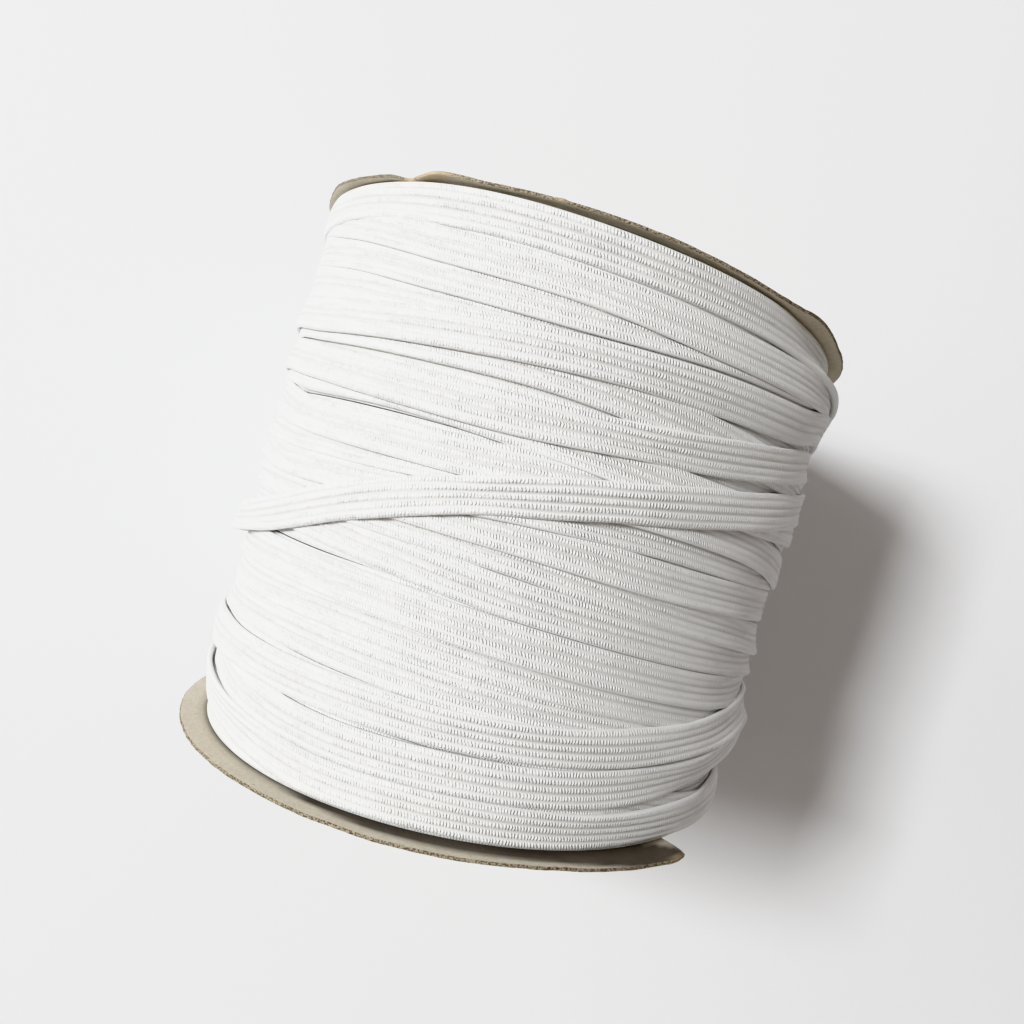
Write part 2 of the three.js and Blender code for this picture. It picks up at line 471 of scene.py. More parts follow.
@dataclass(frozen=True)
class PaintedShadow:
    """A painted shadow: a stretch of a card's inner face painted dark beside the winding, where the winding
    shades it.
    """

    angles: tuple[float, ...] = ()
    inner: tuple[float, ...] = ()  # radius from which it is dark, at each angle
    outer: tuple[float, ...] = ()  # radius up to which it is dark
    inner_fade: float = 1.6
    outer_fade: float = 0.9

    def over(self, angle: np.ndarray, radius: np.ndarray) -> np.ndarray:
        """How deep the painted shadow is at each place.

        Args:
            angle: Angles of the places, in degrees.
            radius: Their radii.

        Returns:
            Shares from 0 to 1.
        """
        if not self.angles:
            return np.zeros_like(radius)
        past_inner = (radius - np.interp(angle, self.angles, self.inner)) / self.inner_fade + 1
        short_of_outer = (np.interp(angle, self.angles, self.outer) - radius) / self.outer_fade + 0.5
        return np.clip(short_of_outer, 0, 1) * np.clip(past_inner, 0, 1)


@dataclass(frozen=True)
class CardEnd:
    """One greyboard end."""

    CUT = "cut_edge"
    WORN = "worn_edge"
    PAINTED_SHADOW = "painted_shadow_face"

    name: str
    plane: CardPlane
    seed: float
    bends: tuple[Bend, ...] = ()  # along Y
    chips: tuple[Bend, ...] = ()  # outwards
    worn: tuple[Bend, ...] = ()  # frayed stretches, by how far they show it
    torn: tuple[tuple[float, float], ...] = ()  # (angle, radius) of a stretch that is torn away
    # painted shadow on the inner face beside the winding
    painted_shadow: PaintedShadow = PaintedShadow()
    thickness: float = 0.55
    rings: tuple[float, ...] = (16, 32, 42, 46, 48, 49.3, 50.4, 51.3, 52.0, 52.5, 52.8)
    bend_start: float = 0.90  # share of the radius from which the rim bends
    chip_depth: float = 2.0  # how far in from the rim the outline's unevenness starts
    tear_start: float = 0.8  # share of a torn outline's radius from which rings draw in with it
    sides: int = 480
    fray: float = 0.10
    ripple: float = 0.22

    def outline(self) -> list[tuple[float, float]]:
        """Half section as (radius, height) from the lower face's centre round the rim to the upper's."""
        half = self.thickness / 2
        radius = AXES.card_radius
        rim = [(radius - 0.05, -half * 0.9), (radius, -half * 0.4), (radius - 0.08, 0.0)]
        rim += [(radius + 0.02, half * 0.45), (radius - 0.06, half * 0.92)]
        lower = [(0.0, -half)] + [(r, -half) for r in self.rings]
        upper = [(r, half) for r in reversed(self.rings)] + [(0.0, half)]
        return lower + rim + upper

    def build(self) -> bpy.types.Object:
        """Spins the section into a disc and bends it to its place."""
        bm = bmesh.new()
        made = bmesh.ops.create_circle(bm, cap_ends=False, radius=1.0, segments=len(self.outline()))
        bmesh.ops.delete(bm, geom=[made["verts"][0].link_edges[0]], context="EDGES")
        bm.verts.ensure_lookup_table()
        for vert, (radius, height) in zip(self._in_order(bm), self.outline()):
            vert.co = (0.0, height, radius)
        spin_round(bm, self.sides, merge=True)
        bmesh.ops.remove_doubles(bm, verts=bm.verts, dist=1e-4)
        bmesh.ops.recalc_face_normals(bm, faces=bm.faces)
        mesh = mesh_from(bm, self.name)
        self._shape(mesh)
        return new_object(self.name, mesh)

    @staticmethod
    def _in_order(bm: bmesh.types.BMesh) -> list[bmesh.types.BMVert]:
        """The vertices of an open chain from one end to the other.

        Args:
            bm: A mesh that holds only the chain.

        Returns:
            Its vertices in order.
        """
        vert = next(v for v in bm.verts if len(v.link_edges) == 1)
        chain, edge = [vert], None
        while True:
            onward = [e for e in chain[-1].link_edges if e is not edge]
            if not onward:
                return chain
            edge = onward[0]
            chain.append(edge.other_vert(chain[-1]))

    def _shape(self, mesh: bpy.types.Mesh) -> None:
        """Leans, bends, frays and flattens the disc, and marks its cut edge, its frayed stretches and the
        painted shadow on its inner face.

        Args:
            mesh: The flat disc about the roll's axis, which is changed.
        """
        points = read_points(mesh)
        height = points[:, 1]
        radius = np.hypot(points[:, 0], points[:, 2])
        angle = np.degrees(np.arctan2(points[:, 0], points[:, 2]))
        x, z = polar(angle, self._torn_back(angle, self._chipped(angle, radius, height.mean())))
        z = np.maximum(z, -AXES.height)
        x = np.where(radius < 1e-6, 0.0, x)
        y = height + self.plane.at(x, z) + self._bent(angle, radius)
        write_points(mesh, AXES.to_row(np.stack([x, y, z], axis=1)))
        inner_face = height * -np.sign(self.plane.centre) > self.thickness * 0.4
        cut = np.clip((radius - AXES.card_radius + 0.18) / 0.1, 0, 1)
        near_rim = np.clip((radius - AXES.card_radius + 0.9) / 0.4, 0, 1)
        frayed = np.clip(sum(spot.over(angle) for spot in self.worn) * near_rim, 0, 1)
        add_mark(mesh, self.CUT, cut)
        add_mark(mesh, self.WORN, frayed)
        # painted shadow of the winding on the inner face
        add_mark(mesh, self.PAINTED_SHADOW, self.painted_shadow.over(angle, radius) * inner_face)

    def _bent(self, angle: np.ndarray, radius: np.ndarray) -> np.ndarray:
        """How far the disc's places are bent along Y.

        Args:
            angle: Angles of the places, in degrees.
            radius: Their radii.

        Returns:
            A push for each.
        """
        reach = np.clip((radius / AXES.card_radius - self.bend_start) / (1 - self.bend_start), 0, 1) ** 2
        push = sum(bend.over(angle) for bend in self.bends)
        coarse, fine = ring_drift(angle, 3.0, self.seed), ring_drift(angle, 11.0, self.seed + 2)
        return reach * (push + self.ripple * (coarse + 0.4 * fine))

    def _chipped(self, angle: np.ndarray, radius: np.ndarray, middle: float) -> np.ndarray:
        """Radii with the rim's chips and its frayed unevenness.

        Args:
            angle: Angles of the places, in degrees.
            radius: Their radii.
            middle: Mean height of the section, which shifts the coarser unevenness.

        Returns:
            The new radii.
        """
        outwards = sum(chip.over(angle) for chip in self.chips)
        outwards = outwards + self.fray * ring_drift(angle, 60.0, self.seed + 5)
        outwards = outwards + self.fray * 0.8 * ring_drift(angle, 25.0, self.seed + middle)
        near_rim = np.clip((radius - AXES.card_radius + self.chip_depth) / self.chip_depth, 0, 1)
        return radius + outwards * near_rim

    def _torn_back(self, angle: np.ndarray, radius: np.ndarray) -> np.ndarray:
        """Radii drawn in where the rim is torn away.

        Args:
            angle: Angles of the places, in degrees.
            radius: Their radii.

        Returns:
            The new radii.
        """
        if not self.torn:
            return radius
        most = np.interp(angle, *zip(*self.torn), left=AXES.card_radius, right=AXES.card_radius)
        inner = self.tear_start * most
        share = np.clip((radius - inner) / (AXES.card_radius - inner), 0, None)
        return np.where(radius > inner, inner + share * (most - inner), radius)


# ---------------------------------------------------------------- the band


@dataclass(frozen=True)
class BandSection:
    """Cross-section of the flat plaited band, with ribs along its outer face."""

    width: float = 5.9
    thickness: float = 0.95
    edge_round: float = 0.42
    grooves: tuple[tuple[float, float], ...] = ((1.2, 0.07), (2.4, 0.17), (3.55, 0.17), (4.7, 0.07))
    groove_width: float = 0.42

    @property
    def deepest(self) -> float:
        """Depth of the deepest groove."""
        return max(depth for _, depth in self.grooves)

    def dip(self, across: float) -> float:
        """Depth of the grooves at a place across the band."""
        half = self.groove_width * 0.5
        return sum(depth * math.exp(-(((across - at) / half) ** 2)) for at, depth in self.grooves)

    def rounding(self, across: float) -> float:
        """How the edges round off.

        Args:
            across: A place across the band.

        Returns:
            The share of the half thickness that is left there.
        """
        inside = min(across, self.width - across)
        if inside >= self.edge_round:
            return 1.0
        off = 1.0 - max(inside, 0.0) / self.edge_round
        return math.sqrt(max(1.0 - off * off, 0.0))

    def places(self) -> list[float]:
        """Places across the outer face, closer together in the grooves."""
        edge = [self.edge_round * share for share in (0.0, 0.18, 0.55)]
        other_edge = [self.width - place for place in edge]
        centres = [at for at, _ in self.grooves]
        half = self.groove_width * 0.5
        grooves = [place for at in centres for place in (at - half, at, at + half)]
        flat = 0.55  # from an edge to where the outer face is flat
        ribs = [(a + b) / 2 for a, b in zip([flat, *centres], [*centres, self.width - flat])]
        return sorted(edge + grooves + ribs + other_edge)

    def outline(self) -> list[tuple[float, float, float]]:
        """Closed section as (across, height, dip), round from the middle of its underside."""
        half = self.thickness / 2
        top = [(a, half + half * self.rounding(a) - self.dip(a), self.dip(a)) for a in self.places()]
        under = [self.edge_round * 0.5, self.width * 0.5, self.width - self.edge_round * 0.5]
        low = [(a, half - half * self.rounding(a), 0.0) for a in under]
        return [low[0], *top, low[2], low[1]]


class BandStrip:
    """One whole turn of band as an open strip of sections, ready to be laid."""

    MAP = "band"
    DIP = "dip"
    GROUND = 0.05  # how close to the ground the band may hang

    def __init__(self, section: BandSection) -> None:
        """Spins the section once round, keeping each point's place in the section."""
        self.section = section
        self.outline = np.array(section.outline())
        self.mesh = self._spin()

    def _spin(self) -> bpy.types.Mesh:
        """Makes the strip, its sections one after another in vertex order."""
        bm = bmesh.new()
        made = bmesh.ops.create_circle(bm, cap_ends=False, radius=1.0, segments=len(self.outline))
        for vert, (across, height, _) in zip(made["verts"], self.outline):
            vert.co = (0.0, across, AXES.card_radius + height)
        spin_round(bm, STEPS, merge=False)
        bmesh.ops.recalc_face_normals(bm, faces=bm.faces)
        return mesh_from(bm, "band_strip")

    def laid(self, turn: LaidTurn) -> bpy.types.Mesh:
        """Lays the strip.

        Args:
            turn: Where the turn lies.

        Returns:
            A copy of the strip, in millimetres in the roll's axes.
        """
        mesh = self.mesh.copy()
        count = len(self.outline)
        step = np.arange(len(mesh.vertices)) // count
        across, height, dip = self.outline[np.arange(len(mesh.vertices)) % count].T
        share = across / self.section.width
        under, slope = turn.under(step, share)
        y = turn.edge[step] + share * turn.width[step] - slope * height
        x, z = polar(turn.angle[step], under + height)
        z = np.maximum(z, self.GROUND - AXES.height)
        write_points(mesh, np.stack([x, y, z], axis=1))
        self._map(mesh, turn, step, across)
        add_mark(mesh, self.DIP, dip / self.section.deepest)
        return mesh

    def _map(self, mesh: bpy.types.Mesh, turn: LaidTurn, step: np.ndarray, across: np.ndarray) -> None:
        """Maps the band in millimetres: along it, and across it.

        Args:
            mesh: The laid strip.
            turn: The turn that it is laid as.
            step: Which section each vertex is in.
            across: Each vertex's place across the band.
        """
        layer = mesh.uv_layers.new(name=self.MAP)
        verts = np.zeros(len(mesh.loops), dtype=np.int64)
        mesh.loops.foreach_get("vertex_index", verts)
        along = turn.start + step[verts] * (math.radians(STEP_DEG) * Drum.FLOOR)
        layer.data.foreach_set("uv", np.stack([along, across[verts]], axis=1).ravel())


@dataclass
class LaidTurn:
    """Where a turn of band lies: one value for each of its sections."""

    angle: np.ndarray
    edge: np.ndarray
    width: np.ndarray
    shape: np.ndarray  # (sections, 3): radius of the middle of its underside, tilt and crown
    start: float  # of its map, along the band

    def under(self, step: np.ndarray, share: np.ndarray) -> tuple[np.ndarray, np.ndarray]:
        """Where the underside lies.

        Args:
            step: Sections that are asked for.
            share: Share of the width at each.

        Returns:
            Its radius there, and its slope along Y.
        """
        middle, tilt, crown = self.shape[step].T
        off = share - 0.5
        slope = (tilt + 2 * crown * off) / self.width[step]
        return middle + tilt * off + crown * off**2, slope


@dataclass(frozen=True)
class Looseness:
    """Where a turn stands off what is under it, and where its upper edge stands out past its lower."""

    lifts: tuple[Bend, ...] = ()
    leans: tuple[Bend, ...] = ()


class Drum:
    """How far out the winding reaches so far: a radius for each step round and each cell along."""

    FLOOR = 49.1  # usual radius of a turn, for lengths along the band
    CELL = 0.2
    REACH = 56.0  # of the cells, either way from midway
    SUPPORTS = (0.08, 0.3, 0.5, 0.7, 0.92)  # shares of a turn's width at which it feels what is under it
    SUPPORT_WIDTH = 0.16  # how far round each, as a share of the width
    SETTLE = 2.0  # steps over which a turn evens out what it lies on
    CROWN_KEPT = 0.6  # share of the crown under a turn that the turn takes on
    MOST_ABOVE = 52.1  # of an underside's radius, over the roll's upper part
    MOST_BELOW = 51.2
    BELOW = -0.3  # cosine of the angle from which a place counts as below
    MOST_EASE = 10.0  # steps over which the one gives way to the other
    MAP_STEP = 37.0  # between the maps of turns with neighbouring seeds

    def __init__(self, section: BandSection, core: tuple[tuple[float, float], ...]) -> None:
        """Starts as a plain drum.

        Args:
            section: The band that will be laid on it.
            core: The drum's radius at some places along it, as (place, radius).
        """
        self.section = section
        self.cells = np.arange(-self.REACH, self.REACH, self.CELL)
        self.tops = np.tile(np.interp(self.cells, *zip(*core)), (STEPS, 1))
        offs = np.array(self.SUPPORTS) - 0.5
        self.fit = np.linalg.pinv(np.stack([np.ones_like(offs), offs, offs**2], axis=1))

    def lay(self, course: Callable, start: float, seed: float, loose: Looseness | None = None) -> LaidTurn:
        """Rests one turn on what is there, and adds its height.

        Args:
            course: Lower edge at the given angles, which are counted on through a run's laps.
            start: Angle at which the turn starts.
            seed: What sets its map apart from other turns' maps.
            loose: Where it doesn't lie close.

        Returns:
            Where the turn lies.
        """
        pad = STEPS // 2
        count = np.arange(-pad, STEPS + pad + 1)
        angle = start + count * STEP_DEG
        column = np.round((angle + 180.0) / STEP_DEG).astype(int) % STEPS
        edge = course(angle)
        run = np.gradient(edge, np.radians(STEP_DEG) * self.FLOOR)
        width = self.section.width * np.sqrt(1 + run**2)
        lines = [self._support(column, edge + share * width, width) for share in self.SUPPORTS]
        supports = np.stack([evened(taut(line, angle), self.SETTLE) for line in lines], axis=1)
        shape = supports @ self.fit.T
        shape[:, 0] += (1 - self.CROWN_KEPT) * shape[:, 2] / 12  # so that its mean radius stays
        shape[:, 2] *= self.CROWN_KEPT
        if loose is not None:
            shape[:, 0] += sum(bend.over(angle) for bend in loose.lifts)
            shape[:, 1] += sum(bend.over(angle) for bend in loose.leans)
        keep = slice(pad, pad + STEPS + 1)
        most = np.where(np.cos(np.radians(angle)) > self.BELOW, self.MOST_ABOVE, self.MOST_BELOW)
        shape[:, 0] = np.minimum(shape[:, 0], evened(most, self.MOST_EASE))
        turn = LaidTurn(angle[keep], edge[keep], width[keep], shape[keep], seed * self.MAP_STEP + start)
        self._cover(column[keep], turn)
        return turn

    def _support(self, column: np.ndarray, place: np.ndarray, width: np.ndarray) -> np.ndarray:
        """How far out the winding reaches under one line along a turn.

        Args:
            column: Which of the drum's steps each of the turn's sections is over.
            place: The line's place along the roll, at each section.
            width: The turn's width along the roll, at each section.

        Returns:
            Mean radius round the line, at each section.
        """
        reach = self.SUPPORT_WIDTH * width
        near = np.abs(self.cells[None, :] - place[:, None]) / reach[:, None]
        weight = np.clip(1 - near, 0, 1)
        return (self.tops[column] * weight).sum(1) / weight.sum(1)

    def _cover(self, column: np.ndarray, turn: LaidTurn) -> None:
        """Raises the drum by one laid turn.

        Args:
            column: Which of the drum's steps each of the turn's sections is over.
            turn: Where the turn lies.
        """
        step = np.arange(STEPS)[:, None]
        share = (self.cells[None, :] - turn.edge[:STEPS, None]) / turn.width[:STEPS, None]
        inside = (share >= 0) & (share <= 1)
        under, _ = turn.under(np.broadcast_to(step, share.shape).ravel(), share.ravel())
        across = np.clip(share * self.section.width, 0, self.section.width)
        near_edge = np.minimum(across, self.section.width - across) / self.section.edge_round
        off = 1 - np.clip(near_edge, 0, 1)
        top = under.reshape(share.shape) + self.section.thickness / 2 * (1 + np.sqrt(1 - off**2))
        raised = np.where(inside, np.maximum(self.tops[column[:STEPS]], top), self.tops[column[:STEPS]])
        self.tops[column[:STEPS]] = raised


def evened(values: np.ndarray, steps: float) -> np.ndarray:
    """Evens out a row of values.

    Args:
        values: The row.
        steps: How many steps either way count in, as the spread of a bell curve.

    Returns:
        The evened row, as long as the first.
    """
    reach = math.ceil(steps * 3)
    weight = np.exp(-0.5 * (np.arange(-reach, reach + 1) / steps) ** 2)
    padded = np.pad(values, reach, mode="edge")
    return np.convolve(padded, weight / weight.sum(), mode="valid")


def taut(radii: np.ndarray, angle: np.ndarray) -> np.ndarray:
    """Pulls a string tight round an outline.

    Args:
        radii: The outline's radius at each angle.
        angle: The angles, in degrees and in order.

    Returns:
        The string's radius at each angle.
    """
    x, z = polar(angle, radii)
    kept: list[int] = []
    for i in range(len(radii)):
        while len(kept) > 1:
            a, b = kept[-2], kept[-1]
            bulge = (x[b] - x[a]) * (z[i] - z[b]) - (z[b] - z[a]) * (x[i] - x[b])
            if bulge < 0:
                break
            kept.pop()
        kept.append(i)
    pulled = radii.copy()
    dx, dz = polar(angle, np.ones_like(radii))
    for a, b in zip(kept, kept[1:]):
        between = np.arange(a + 1, b)
        run_x, run_z = x[b] - x[a], z[b] - z[a]
        pulled[between] = (x[a] * run_z - z[a] * run_x) / (dx[between] * run_z - dz[between] * run_x)
    return pulled


# ---------------------------------------------------------------- the winding


@dataclass(frozen=True)
class Winding:
    """All turns of band that show, in the order in which they were wound."""

    section: BandSection = BandSection()
    core: tuple = ((-45, 47.6), (-30, 48.0), (-15, 48.3), (0, 48.6), (12, 49.3), (25, 49.7), (40, 49.7))
    base_pitch: float = 5.55
    end_gap: float = 0.5  # from a card's middle plane to the winding
    wobble: float = 0.16
    wobble_size: float = 1.6
    base_seed: int = 80
    run_seed: int = 50
    stations: tuple[float, ...] = (-75, -50, -25, 0, 25, 50, 75, 180)

    def rings(self) -> dict[str, tuple[float, ...]]:
        """Lower edges of the closed turns at the stations, in the order in which they were wound."""
        return {
            "foot_inner": (-43, -43.5, -43, -43, -42, -43.2, -43, -39),
            "foot_outer": (-35, -36, -37, -37, -36, -34, -31, -34),
            "shelf_1": (-30, -30.5, -31, -31.6, -31.8, -31.5, -31, -31),
            "shelf_2": (-24.5, -25.3, -25.4, -26.1, -26.7, -27, -27, -26),
            "shelf_3": (-20, -20.6, -21.3, -22.3, -23, -23, -21.5, -19.5),
            "shelf_4": (-11.5, -12.6, -14.4, -16.3, -17, -17.2, -17, -15),
            "shelf_5": (-7, -8.5, -9.6, -10.2, -11.8, -12.7, -13.2, -10.5),
            "shelf_6": (-4.5, -5.5, -6.8, -7.4, -8, -7.5, -6.8, -6.5),
            "middle_1": (-1.5, -4.4, -4.6, -3, -1.9, -1.7, -1, -2),
            "middle_2": (2, 0, -0.4, 0.9, 1.6, 1.3, -0.4, 2.5),
            "middle_3": (7, 3.2, 1.9, 2.2, 4.6, 7.1, 6.3, 7),
            "head_1": (12.5, 10, 9.1, 7.6, 5.9, 6.5, 8, 11),
            "head_2": (20.5, 18.5, 17.4, 16.9, 15.6, 14.8, 14.5, 16),
            "head_3": (28.3, 25.6, 23.2, 22.5, 23.2, 24.8, 27.5, 26),
            "head_4": (34, 31, 27.6, 26.4, 27.6, 29.4, 33, 31.5),
            "head_5": (39.6, 36, 32.2, 30.4, 29, 29.9, 32, 37.5),
            "top_1": (22.6, 20, 19.4, 20.2, 21.5, 23.3, 27.2, 24.5),
            "top_2": (14.8, 12, 10, 9.6, 11.9, 15.7, 20, 18.5),
        }

    def last_run(self) -> dict[str, tuple[float, ...]]:
        """Lower edges of the last turns at the front stations: one run, lap after lap."""
        return {
            "along_lower_card": (-45, -47.9, -49.8, -48.9, -47.2, -44, -41.4),
            "beside_it": (-36.8, -41.8, -43.6, -42.8, -40.6, -36.1, -29.6),
            "rising": (-36, -37, -37.2, -36.6, -34.2, -30, -25),
            "crossing": (-17.1, -14.1, -7.8, -1.6, 3.4, 7.9, 12.6),
            "along_upper_card": (42.5, 40.2, 38.4, 36.8, 36, 35.6, 33.8),
        }

    def loose(self) -> list[Looseness]:
        """How each of the last turns stands off or leans."""
        return [
            Looseness(lifts=(Bend(-75, 22, 0.3),)),
            Looseness(),
            Looseness(),
            Looseness(lifts=(Bend(-82, 22, 2.6),)),
            Looseness(
                lifts=(Bend(0, 50, 0.35), Bend(68, 22, -1.5)),
                leans=(Bend(-20, 65, 2.0), Bend(70, 26, -3.8)),
            ),
        ]

    def span(self, angle: np.ndarray) -> tuple[np.ndarray, np.ndarray]:
        """Where a turn fits between the cards.

        Args:
            angle: Angles in degrees.

        Returns:
            The lowest and the highest place of its lower edge at each.
        """
        x, z = polar(angle, np.full_like(angle, Drum.FLOOR))
        high = UPPER_PLANE.at(x, z) - self.end_gap - self.section.width
        return LOWER_PLANE.at(x, z) + self.end_gap, high

    def ring_course(self, values: tuple[float, ...], seed: float) -> Callable:
        """The course of a closed turn, the same again after each whole turn.

        Args:
            values: Its lower edge at the stations.
            seed: Seed of its wavering.

        Returns:
            A function that gives its lower edge at angles.
        """
        angles = [at + 360 * lap for lap in (-2, -1, 0, 1, 2) for at in self.stations]
        return self._kept_in(Course(angles, list(values) * 5), seed)

    def run_course(self) -> Callable:
        """The course of the last run, for angles counted on through its laps."""
        front = self.stations[:-1]
        rows = list(self.last_run().values())
        angles = [at + 360 * lap for lap in range(len(rows)) for at in front]
        return self._kept_in(Course(angles, [value for row in rows for value in row]), self.run_seed)

    def _wavering(self, angle: np.ndarray, seed: float) -> np.ndarray:
        """How far a turn strays from its course at the given angles."""
        return self.wobble * ring_drift(angle, self.wobble_size, seed)

    def _kept_in(self, course: Course, seed: float) -> Callable:
        """A slightly wavering course, kept between the cards."""
        return lambda angle: np.clip(course.at(angle) + self._wavering(angle, seed), *self.span(angle))

    def base_course(self, share: float, seed: float) -> Callable:
        """The course of a turn of the layer below.

        Args:
            share: Its place as a share of the way between the cards.
            seed: Seed of its wavering.

        Returns:
            A function that gives its lower edge at angles.
        """

        def at(angle: np.ndarray) -> np.ndarray:
            """Lower edge at the given angles."""
            low, high = self.span(angle)
            return low + (high - low) * share + self._wavering(angle, seed)

        return at

    def build(self) -> dict[str, bpy.types.Object]:
        """Lays every turn and joins them as a few pieces."""
        strip = BandStrip(self.section)
        drum = Drum(self.section, self.core)
        count = round(2 * UPPER_PLANE.centre / self.base_pitch)
        every_other_first = [*range(0, count, 2), *range(1, count, 2)]
        below = [self._base_turn(strip, drum, k, count) for k in every_other_first]
        turns = [
            strip.laid(drum.lay(self.ring_course(values, k), -180.0, k))
            for k, values in enumerate(self.rings().values(), start=1)
        ]
        half = len(turns) // 2
        run = self._lay_run(drum)
        return {
            "turns_below": joined("turns_below", below),
            "turns_lower": joined("turns_lower", turns[:half]),
            "turns_upper": joined("turns_upper", turns[half:]),
            "turns_last": joined("turns_last", [strip.laid(turn) for turn in run]),
        }

    def _base_turn(self, strip: BandStrip, drum: Drum, k: int, count: int) -> bpy.types.Mesh:
        """Lays one turn of the layer below.

        Args:
            strip: The band, ready to be laid.
            drum: What it is laid on.
            k: Which turn it is, from the lower card.
            count: How many turns the layer has.

        Returns:
            The laid turn's mesh.
        """
        seed = self.base_seed + k
        return strip.laid(drum.lay(self.base_course(k / (count - 1), seed), -180.0, seed))

    def _lay_run(self, drum: Drum) -> list[LaidTurn]:
        """Lays the last run lap by lap, each carried on from the one before.

        Args:
            drum: What it is laid on.

        Returns:
            Where each lap lies.
        """
        course = self.run_course()
        run = []
        for lap, loose in enumerate(self.loose()):
            turn = drum.lay(course, -180.0 + 360 * lap, self.run_seed, loose)
            turn.start = lap * math.tau * Drum.FLOOR
            run.append(turn)
        for before, after in zip(run, run[1:]):
            match_ends(before, after)
        return run


def match_ends(before: LaidTurn, after: LaidTurn, over: float = 14.0) -> None:
    """Evens out the step between two laps of a run.

    Args:
        before: The lap whose end is met.
        after: The lap whose start meets it.
        over: Sections over which the step is spread in each.
    """
    step = after.shape[0] - before.shape[-1]
    fade = np.exp(-((np.arange(STEPS + 1) / over) ** 2))[:, None]
    before.shape += fade[::-1] * step / 2
    after.shape -= fade * step / 2


# ---------------------------------------------------------------- meshes and objects


def spin_round(bm: bmesh.types.BMesh, steps: int, merge: bool) -> None:
    """Spins all that a bmesh holds once round the roll's axis.

    Args:
        bm: The bmesh, which is changed.
        steps: How many steps the turn has.
        merge: Whether its end is joined to its start.
    """
    turn = {"cent": (0, 0, 0), "axis": (0, 1, 0), "angle": math.tau}
    bmesh.ops.spin(bm, geom=bm.verts[:] + bm.edges[:], steps=steps, use_merge=merge, **turn)


def mesh_from(bm: bmesh.types.BMesh, name: str) -> bpy.types.Mesh:
    """Turns a bmesh into a mesh of that name."""
    mesh = bpy.data.meshes.new(name)
    bm.to_mesh(mesh)
    bm.free()
    return mesh


def read_points(mesh: bpy.types.Mesh) -> np.ndarray:
    """A mesh's points as rows of three numbers."""
    flat = np.zeros(len(mesh.vertices) * 3)
    mesh.vertices.foreach_get("co", flat)
    return flat.reshape(-1, 3)


def write_points(mesh: bpy.types.Mesh, points: np.ndarray) -> None:
    """Moves a mesh's points."""
    mesh.vertices.foreach_set("co", points.ravel())
    mesh.update()


def add_mark(mesh: bpy.types.Mesh, name: str, values: np.ndarray) -> None:
    """Keeps a value at each of a mesh's points, under a name."""
    mark = mesh.attributes.new(name, "FLOAT", "POINT")
    mark.data.foreach_set("value", values.astype(np.float32))


def new_object(name: str, mesh: bpy.types.Mesh) -> bpy.types.Object:
    """Puts a mesh in the scene, smooth, as an object at the origin.

    Args:
        name: The object's name.
        mesh: Its mesh, with its place in it.

    Returns:
        The object.
    """
    mesh.shade_smooth()
    made = bpy.data.objects.new(name, mesh)
    bpy.context.scene.collection.objects.link(made)
    return made


def joined(name: str, strips: list[bpy.types.Mesh]) -> bpy.types.Object:
    """Joins laid strips as one piece: ends that meet are sewn, and the others closed.

    Args:
        name: The piece's name.
        strips: The laid strips, in millimetres in the roll's axes.

    Returns:
        The piece, in its place.
    """
    bm = bmesh.new()
    for strip in strips:
        bm.from_mesh(strip)
    ends = [v for e in bm.edges if e.is_boundary for v in e.verts]
    bmesh.ops.remove_doubles(bm, verts=list(dict.fromkeys(ends)), dist=0.02)
    bmesh.ops.holes_fill(bm, edges=[e for e in bm.edges if e.is_boundary], sides=0)
    mesh = mesh_from(bm, name)
    write_points(mesh, AXES.to_row(read_points(mesh)))
    return new_object(name, mesh)


# ---------------------------------------------------------------- studio


@dataclass(frozen=True)
class SoftLight:
    """One rectangular light that faces the roll. Its lengths are in metres."""

    name: str
    place: tuple[float, float, float]
    size: tuple[float, float]
    power: float
    colour: tuple[float, float, float] = (0.97, 1.0, 1.02)
    target: tuple[float, float, float] = (0.0, 0.0, 0.05)

    def hang(self) -> None:
        """Puts the light in the scene."""
        data = bpy.data.lights.new(self.name, "AREA")
        data.shape = "RECTANGLE"
        data.size, data.size_y = self.size
        data.energy = self.power
        data.color = self.colour
        lamp = bpy.data.objects.new(self.name, data)
        bpy.context.scene.collection.objects.link(lamp)
        lamp.location = self.place
        lamp.rotation_mode = "QUATERNION"
        lamp.rotation_quaternion = (Vector(self.place) - Vector(self.target)).to_track_quat("Z", "Y")


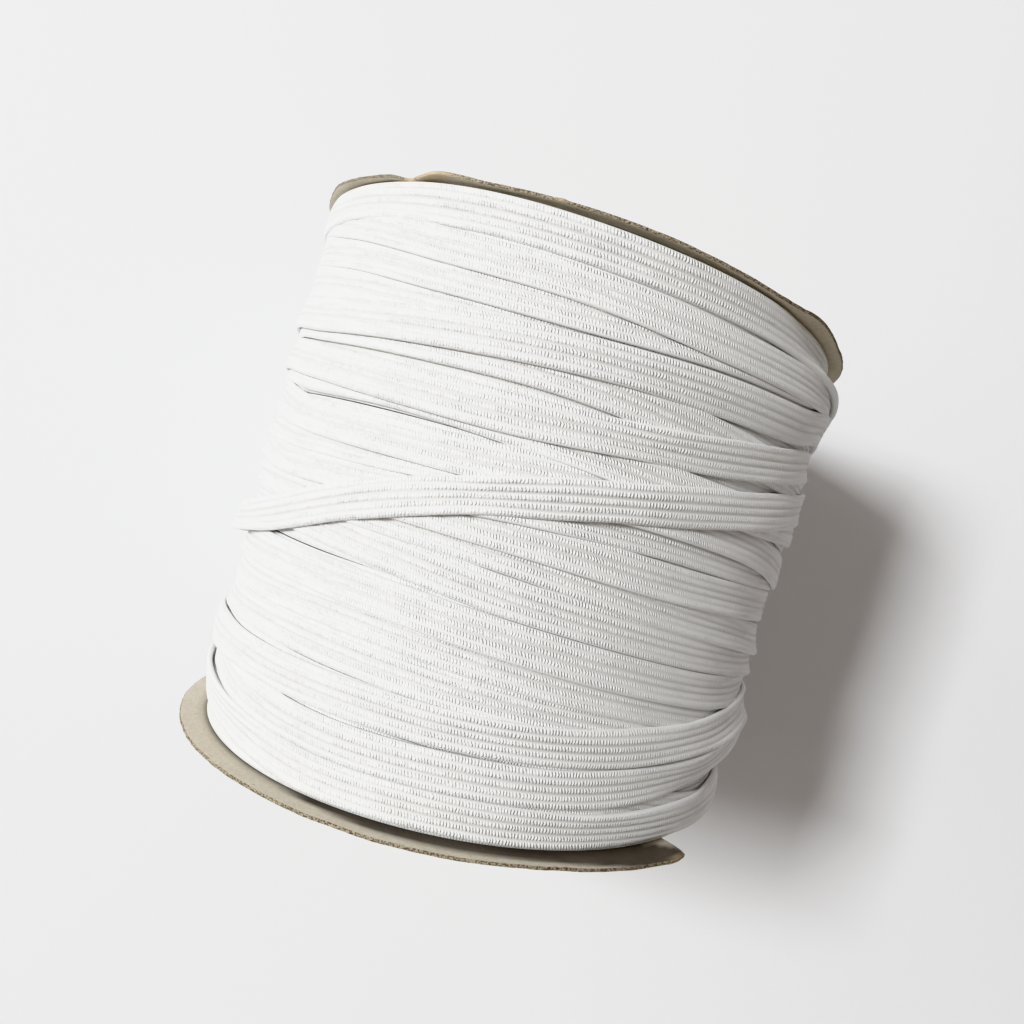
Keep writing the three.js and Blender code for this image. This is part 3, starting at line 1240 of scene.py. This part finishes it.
@dataclass(frozen=True)
class Studio:
    """Camera, soft lights and a plain floor."""

    eye: tuple = (0.0, -4.83, 225.96)
    aim: tuple = (-1.78, 2.30, 52.55)
    roll: float = 15.80
    lens: float = 29.88
    floor_size: float = 3.0  # in metres
    lights: tuple[SoftLight, ...] = (
        SoftLight("window", (-1.47, 0.29, 2.0), (0.66, 0.52), 62.0),
        SoftLight("low_window", (-1.3, 0.25, 0.45), (1.0, 1.0), 5.4),
    )
    room_colour: tuple = (1.0, 0.925, 0.865, 1.0)
    room_light: float = 0.305

    def build(self) -> None:
        """Sets up the camera, the floor and the lights."""
        self._camera()
        self._floor()
        for light in self.lights:
            light.hang()
        world = bpy.data.worlds.new("studio")
        world.use_nodes = True
        background = world.node_tree.nodes["Background"].inputs
        background["Color"].default_value = self.room_colour
        background["Strength"].default_value = self.room_light
        bpy.context.scene.world = world
        bpy.context.scene.view_settings.view_transform = "Khronos PBR Neutral"

    def _camera(self) -> None:
        """Makes the camera and sets it as the scene's."""
        data = bpy.data.cameras.new("camera")
        data.sensor_width = 36.0
        data.lens = self.lens
        data.clip_start, data.clip_end = 0.01, 20.0
        camera = bpy.data.objects.new("camera", data)
        bpy.context.scene.collection.objects.link(camera)
        eye, aim = Vector(self.eye) * MM, Vector(self.aim) * MM
        back = (eye - aim).normalized()
        turn = math.radians(self.roll)
        right = Vector((-math.sin(turn), math.cos(turn), 0.0)).cross(back).normalized()
        axes = Matrix((right, back.cross(right), back)).transposed()
        camera.matrix_world = Matrix.Translation(eye) @ axes.to_4x4()
        bpy.context.scene.camera = camera

    def _floor(self) -> None:
        """Lays the floor under the roll."""
        bm = bmesh.new()
        bmesh.ops.create_grid(bm, x_segments=8, y_segments=8, size=self.floor_size / 2)
        mesh = mesh_from(bm, "floor")
        mesh.materials.append(FloorFinish().material())
        new_object("floor", mesh)


# ---------------------------------------------------------------- the whole


def dress(piece: bpy.types.Object, finish: bpy.types.Material, node: str) -> None:
    """Finishes a piece and ties it to the frame.

    Args:
        piece: The piece.
        finish: Its material.
        node: CAD node that it stands for.
    """
    piece.data.materials.clear()
    piece.data.materials.append(finish)
    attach(piece, "root")
    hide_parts(node)
    LOG.info("%s: %d faces", piece.name, len(piece.data.polygons))


def cards() -> list[CardEnd]:
    """The two card ends with their bends and worn places, and the painted shadow of the winding on the near
    card's inner face.
    """
    far = CardEnd(
        name="card_far",
        plane=UPPER_PLANE,
        seed=3.0,
        bends=(Bend(-64, 9, 0.8), Bend(-36.5, 3.5, -0.7), Bend(-28, 6, 0.6), Bend(48, 7, 0.9)),
        chips=(Bend(-36, 2.0, -0.5), Bend(-30, 2.5, 0.35), Bend(-7, 0.7, 0.6)),
        worn=(Bend(-36, 1.2, 0.5), Bend(-30.5, 4.0, 1.0), Bend(-7, 1.0, 0.6)),
    )
    near = CardEnd(
        name="card_near",
        plane=LOWER_PLANE,
        seed=9.0,
        bends=(Bend(45, 14, -0.35),),
        chips=(Bend(-15, 3.0, -0.15), Bend(46, 3.0, 0.5)),
        worn=(Bend(47, 2.0, 0.5),),
        torn=(
            (49.6, 53), (50.2, 52.4), (50.9, 47.4), (58, 47),
            (76, 47.6), (90, 48.4), (104, 49.6), (116, 53),
        ),
        # painted shadow: the winding's shade on the inner face, widening towards the torn end
        painted_shadow=PaintedShadow(
            angles=(-30, -10, 10, 22, 32, 40, 43, 46, 49, 52),
            inner=(40, 40, 40, 40, 40, 44, 48.4, 49.4, 51.4, 53),
            outer=(49, 51, 51.3, 51.7, 52.6, 53.4, 53.6, 53.6, 53.6, 49),
        ),
    )
    return [far, near]


def main() -> None:
    """Builds the studio, the winding and the two cards, and writes how large they are."""
    logging.basicConfig(level=logging.INFO, format="%(name)s %(message)s")
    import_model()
    Studio().build()
    elastic = ElasticFinish().material()
    board = GreyboardFinish().material()
    for piece in Winding().build().values():
        dress(piece, elastic, "elastic_roll")
    for card, node in zip(cards(), ("upper_card", "lower_card")):
        dress(card.build(), board, node)


if __name__ == "__main__":
    main()
